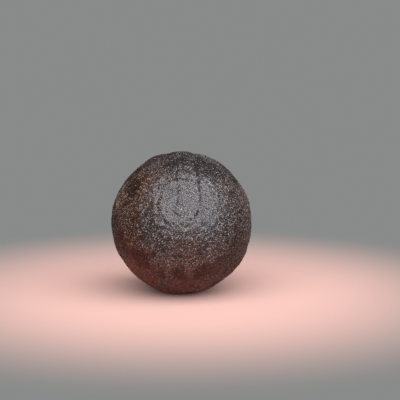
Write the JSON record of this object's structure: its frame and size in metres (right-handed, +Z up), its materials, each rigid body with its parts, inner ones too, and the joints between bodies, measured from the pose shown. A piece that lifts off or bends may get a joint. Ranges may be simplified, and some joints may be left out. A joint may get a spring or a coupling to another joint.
{
  "type": "moqui marble",
  "caption": "Dark, sandy, nearly round iron-oxide concretion with a low raised band over its crown, resting on a small worn flat spot.",
  "frame": {"origin": "middle of the small flat spot that the stone rests on", "axes": "+Z up through the stone's centre to its crown, -Y towards the viewer of its front, +X to the front's right"},
  "size_m": [0.0418, 0.0419, 0.0425],
  "materials": {
    "iron_crust": "fine sandy grain with a dull metallic sheen"
  },
  "bodies": {
    "root": {"moqui_marble": "iron_crust"}
  },
  "joints": []
}
